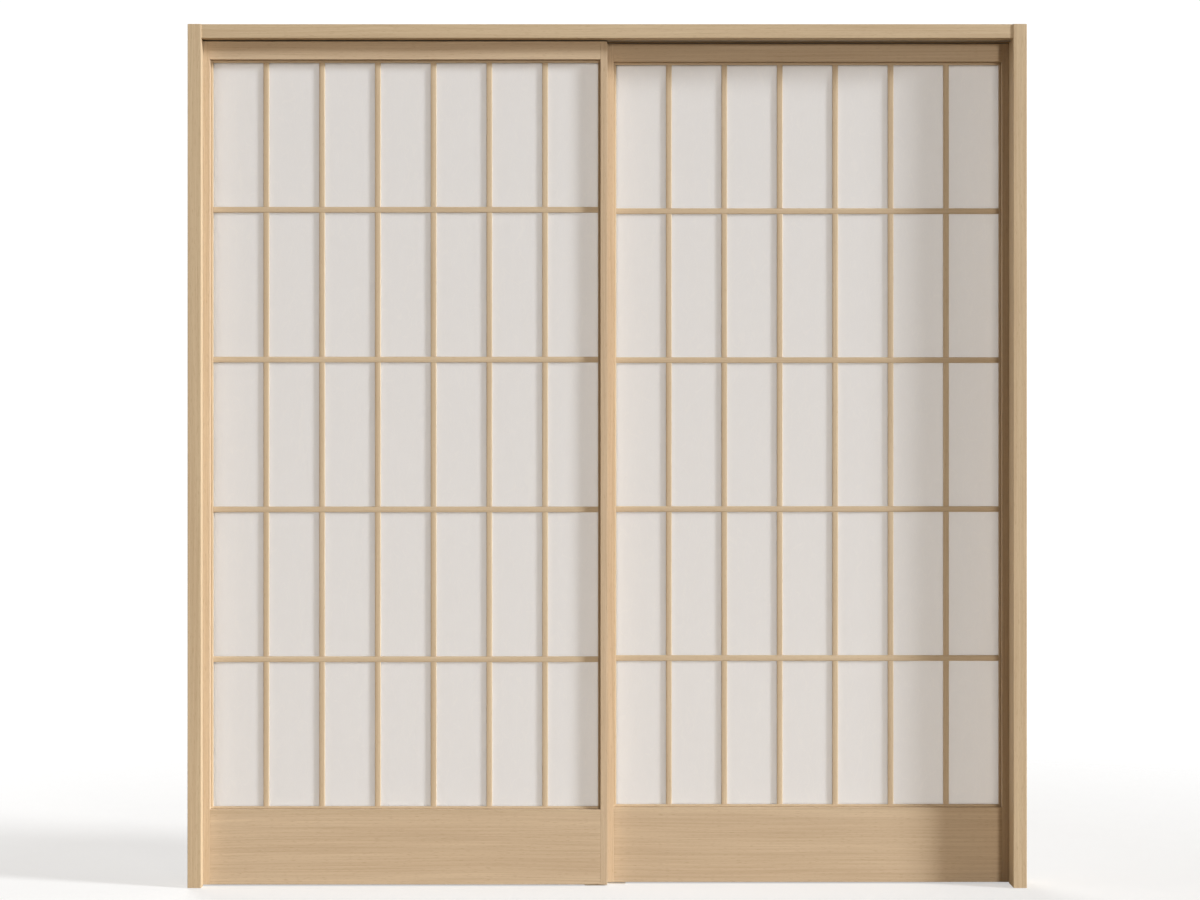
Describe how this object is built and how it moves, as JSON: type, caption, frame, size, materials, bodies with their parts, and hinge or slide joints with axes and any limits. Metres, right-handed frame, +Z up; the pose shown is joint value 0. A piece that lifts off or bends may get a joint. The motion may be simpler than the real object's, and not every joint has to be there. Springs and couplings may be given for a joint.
{
  "type": "shoji sliding screen",
  "caption": "Pair of timber-framed paper lattice doors that slide past each other on top tracks in a three-sided wooden door frame.",
  "frame": {"origin": "on the floor, at the middle of the frame's footprint", "axes": "+X to the right as seen from the front, +Y from the front to the back, +Z up"},
  "size_m": [2.04, 0.147, 2.1],
  "materials": {
    "frame_wood": "fine straight grain, satin",
    "door_wood": "fine straight grain, satin",
    "lattice_wood": "fine straight grain, satin",
    "paper": "matt laminated paper with faint fibres",
    "aluminium": "anodised satin",
    "zinc_steel": "zinc plated",
    "nylon": "moulded, matt"
  },
  "bodies": {
    "frame": {"head_rails": "frame_wood", "head_webs": "frame_wood", "left_jamb_posts": "frame_wood", "right_jamb_posts": "frame_wood", "jamb_webs": "frame_wood", "track_roofs": "aluminium", "track_sides": "aluminium", "track_lips": "aluminium", "track_stops": "nylon", "track_screws": "zinc_steel", "corner_screws": "zinc_steel", "floor_guide": "nylon"},
    "left_door": {"left_outer_stile": "door_wood", "left_meeting_stile": "door_wood", "left_top_rail": "door_wood", "left_bottom_faces": "door_wood", "left_bottom_core": "door_wood", "left_lattice_border": "lattice_wood", "left_paper_sheet": "paper", "left_back_beads": "lattice_wood", "left_carriages": "zinc_steel", "left_axles": "zinc_steel", "left_hanger_bolts": "zinc_steel", "left_hanger_sockets": "zinc_steel", "left_vertical_bar_1": "lattice_wood", "left_vertical_bar_2": "lattice_wood", "left_vertical_bar_3": "lattice_wood", "left_vertical_bar_4": "lattice_wood", "left_vertical_bar_5": "lattice_wood", "left_vertical_bar_6": "lattice_wood", "left_horizontal_bar_1": "lattice_wood", "left_horizontal_bar_2": "lattice_wood", "left_horizontal_bar_3": "lattice_wood", "left_horizontal_bar_4": "lattice_wood"},
    "left_outer_roller": {"left_outer_wheels": "nylon"},
    "left_inner_roller": {"left_inner_wheels": "nylon"},
    "right_door": {"right_outer_stile": "door_wood", "right_meeting_stile": "door_wood", "right_top_rail": "door_wood", "right_bottom_faces": "door_wood", "right_bottom_core": "door_wood", "right_lattice_border": "lattice_wood", "right_paper_sheet": "paper", "right_back_beads": "lattice_wood", "right_carriages": "zinc_steel", "right_axles": "zinc_steel", "right_hanger_bolts": "zinc_steel", "right_hanger_sockets": "zinc_steel", "right_vertical_bar_1": "lattice_wood", "right_vertical_bar_2": "lattice_wood", "right_vertical_bar_3": "lattice_wood", "right_vertical_bar_4": "lattice_wood", "right_vertical_bar_5": "lattice_wood", "right_vertical_bar_6": "lattice_wood", "right_horizontal_bar_1": "lattice_wood", "right_horizontal_bar_2": "lattice_wood", "right_horizontal_bar_3": "lattice_wood", "right_horizontal_bar_4": "lattice_wood"},
    "right_outer_roller": {"right_outer_wheels": "nylon"},
    "right_inner_roller": {"right_inner_wheels": "nylon"}
  },
  "joints": [
    {"name": "left_door_slide", "type": "slide", "parent": "frame", "child": "left_door", "axis": [1, 0, 0], "range_m": [0, 0.94]},
    {"name": "left_outer_roller_spin", "type": "hinge", "parent": "left_door", "child": "left_outer_roller", "pos_m": [-0.907, -0.02, 2.0741], "axis": [0, 1, 0], "continuous": true},
    {"name": "left_inner_roller_spin", "type": "hinge", "parent": "left_door", "child": "left_inner_roller", "pos_m": [-0.09, -0.02, 2.0741], "axis": [0, 1, 0], "continuous": true},
    {"name": "right_door_slide", "type": "slide", "parent": "frame", "child": "right_door", "axis": [-1, 0, 0], "range_m": [0, 0.94]},
    {"name": "right_outer_roller_spin", "type": "hinge", "parent": "right_door", "child": "right_outer_roller", "pos_m": [0.907, 0.02, 2.0741], "axis": [0, 1, 0], "continuous": true},
    {"name": "right_inner_roller_spin", "type": "hinge", "parent": "right_door", "child": "right_inner_roller", "pos_m": [0.08, 0.02, 2.0741], "axis": [0, 1, 0], "continuous": true}
  ],
  "couplings": [
    {"joint": "left_outer_roller_spin", "follows": "left_door_slide", "rad_per_m": 166.67},
    {"joint": "left_inner_roller_spin", "follows": "left_door_slide", "rad_per_m": 166.67},
    {"joint": "right_outer_roller_spin", "follows": "right_door_slide", "rad_per_m": -166.67},
    {"joint": "right_inner_roller_spin", "follows": "right_door_slide", "rad_per_m": -166.67}
  ]
}
